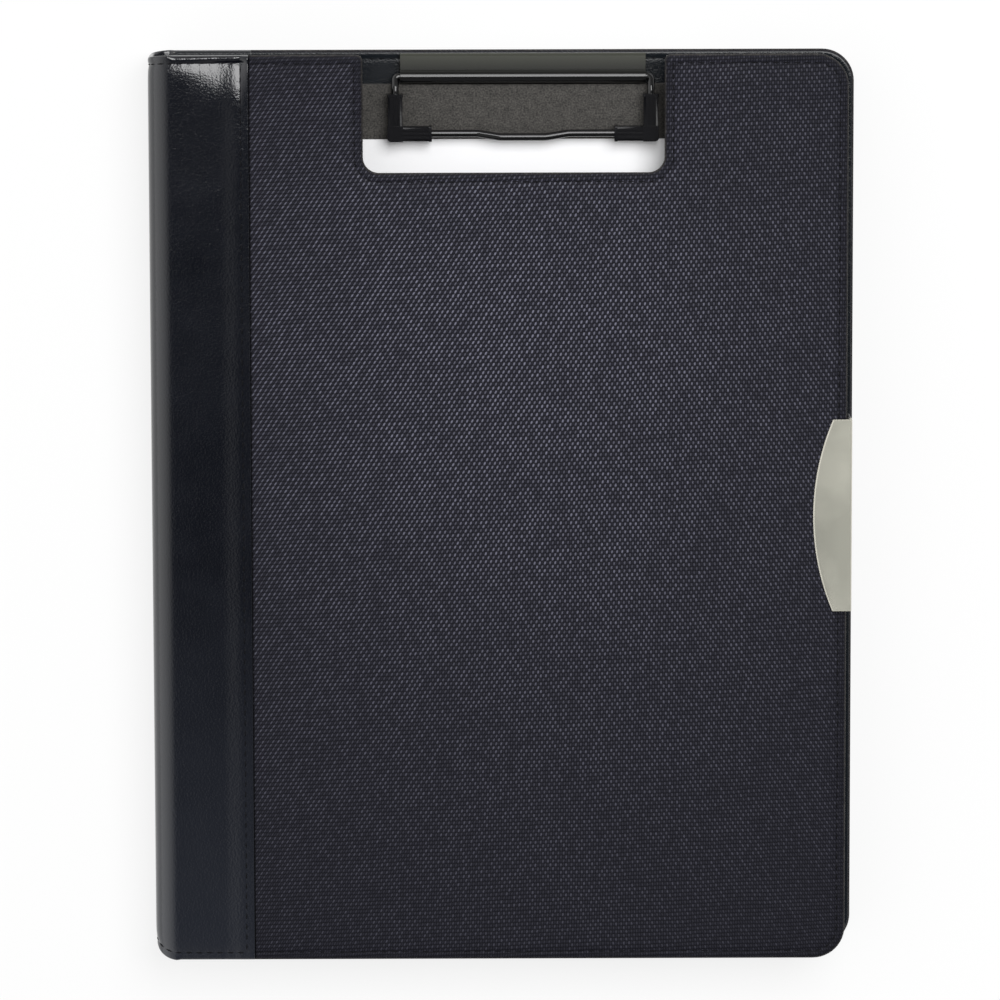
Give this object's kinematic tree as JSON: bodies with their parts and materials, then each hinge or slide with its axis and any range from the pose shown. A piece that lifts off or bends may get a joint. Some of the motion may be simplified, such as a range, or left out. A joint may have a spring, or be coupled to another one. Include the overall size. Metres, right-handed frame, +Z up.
{
  "type": "clipboard folder",
  "caption": "Padfolio with a clipboard: stiff covers hinged on a leather spine, a sprung wire bail clip showing through a cover window, a writing pad and a magnetic clasp.",
  "frame": {"origin": "middle of the back cover's outer face, which the closed folder lies on", "axes": "+Z up through the front cover, +Y towards the clip end, -X towards the spine"},
  "size_m": [0.263, 0.342, 0.027],
  "materials": {
    "nylon_cloth": "woven, blue-black",
    "leatherette": "smooth, glossy black",
    "greyboard": "pressed paper board",
    "lining": "smooth, dark blue-black",
    "foam": "soft foam",
    "elastic": "knitted elastic",
    "black_steel": "black lacquer, glossy",
    "bright_steel": "bare",
    "satin_metal": "satin champagne plate",
    "black_moulding": "moulded, semi-gloss",
    "magnet": "bare",
    "pad_card": "chipboard card",
    "paper": "matt white paper",
    "header_card": "matt dark brown-grey card"
  },
  "bodies": {
    "back_cover": {"back_nylon_skin": "nylon_cloth", "back_leather_band": "leatherette", "back_board": "greyboard", "back_lining": "lining", "clip_spring_plate": "black_steel", "clip_rivets": "bright_steel", "clasp_keeper": "bright_steel", "pen_loop": "elastic"},
    "spine": {"spine_leather": "leatherette", "spine_board": "greyboard", "spine_lining": "lining"},
    "front_cover": {"front_nylon_skin": "nylon_cloth", "front_leather_band": "leatherette", "front_foam": "foam", "front_board": "greyboard", "front_lining": "lining", "document_pocket": "lining", "card_pocket_lower": "lining", "card_pocket_upper": "lining", "clasp_plate": "satin_metal", "clasp_rivets": "bright_steel", "clasp_strap_root": "leatherette"},
    "clasp": {"clasp_strap": "leatherette", "clasp_magnet": "magnet"},
    "bail": {"bail_wire": "black_steel", "bail_sleeve_left": "black_moulding", "bail_sleeve_right": "black_moulding"},
    "pad": {"pad_back_card": "pad_card", "pad_sheets": "paper", "pad_header": "header_card"}
  },
  "joints": [
    {"name": "back_hinge", "type": "hinge", "parent": "back_cover", "child": "spine", "pos_m": [-0.12955, 0, 0.00195], "axis": [0, -1, 0], "range_deg": [0, 180]},
    {"name": "front_hinge", "type": "hinge", "parent": "spine", "child": "front_cover", "pos_m": [-0.12955, 0, 0.02405], "axis": [0, -1, 0], "range_deg": [0, 180]},
    {"name": "clasp_fold", "type": "hinge", "parent": "front_cover", "child": "clasp", "pos_m": [0.1294, 0, 0.02], "axis": [0, -1, 0], "range_deg": [0, 90]},
    {"name": "bail_swing", "type": "hinge", "parent": "back_cover", "child": "bail", "pos_m": [0.0078, 0.16163, 0.01057], "axis": [-1, 0, 0], "range_deg": [0, 110], "stiffness_Nm_per_rad": 0.01},
    {"name": "pad_slide", "type": "slide", "parent": "back_cover", "child": "pad", "axis": [0, -1, 0], "range_m": [0, 0.32]}
  ]
}
